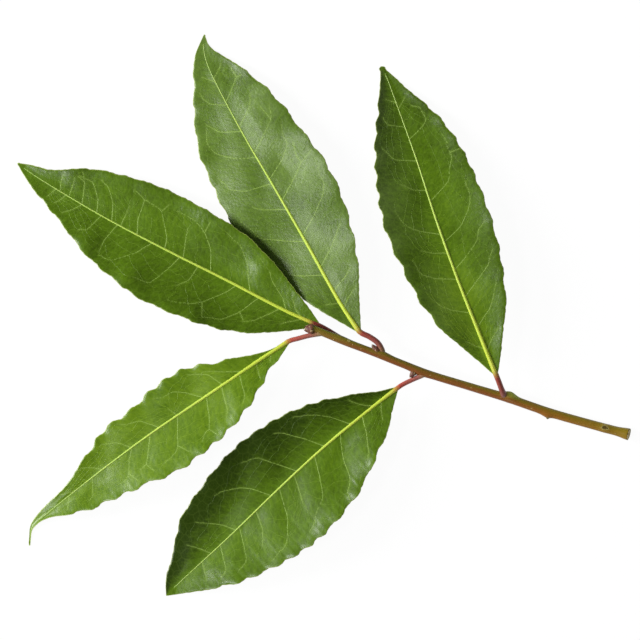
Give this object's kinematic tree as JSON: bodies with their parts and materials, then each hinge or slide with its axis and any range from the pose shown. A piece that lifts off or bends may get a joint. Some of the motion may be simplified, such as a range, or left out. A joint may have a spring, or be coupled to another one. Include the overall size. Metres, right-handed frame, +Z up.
{
  "type": "bay leaf branch",
  "caption": "Cut bay laurel sprig lying flat: woody shoot with stalked, ruffled, pointed leaves and small buds.",
  "frame": {"origin": "middle of the sprig's footprint, on the surface it lies on", "axes": "+Z up, away from the surface; +X towards the stem's cut end; +Y towards the side with three leaves"},
  "size_m": [0.1656, 0.1518, 0.011],
  "materials": {
    "bark": "thin smooth bark, olive to red-brown, satin",
    "leaf": "leathery leaf with a waxy satin upper side and a paler matte underside",
    "bud": "overlapping matte bud scales, reddish brown"
  },
  "bodies": {
    "root": {"stem": "bark", "leaf_upper_left": "leaf", "leaf_upper_middle": "leaf", "leaf_right": "leaf", "leaf_lower_left": "leaf", "leaf_lower_middle": "leaf", "terminal_bud": "bud", "axillary_bud_upper": "bud", "axillary_bud_lower": "bud"}
  },
  "joints": []
}
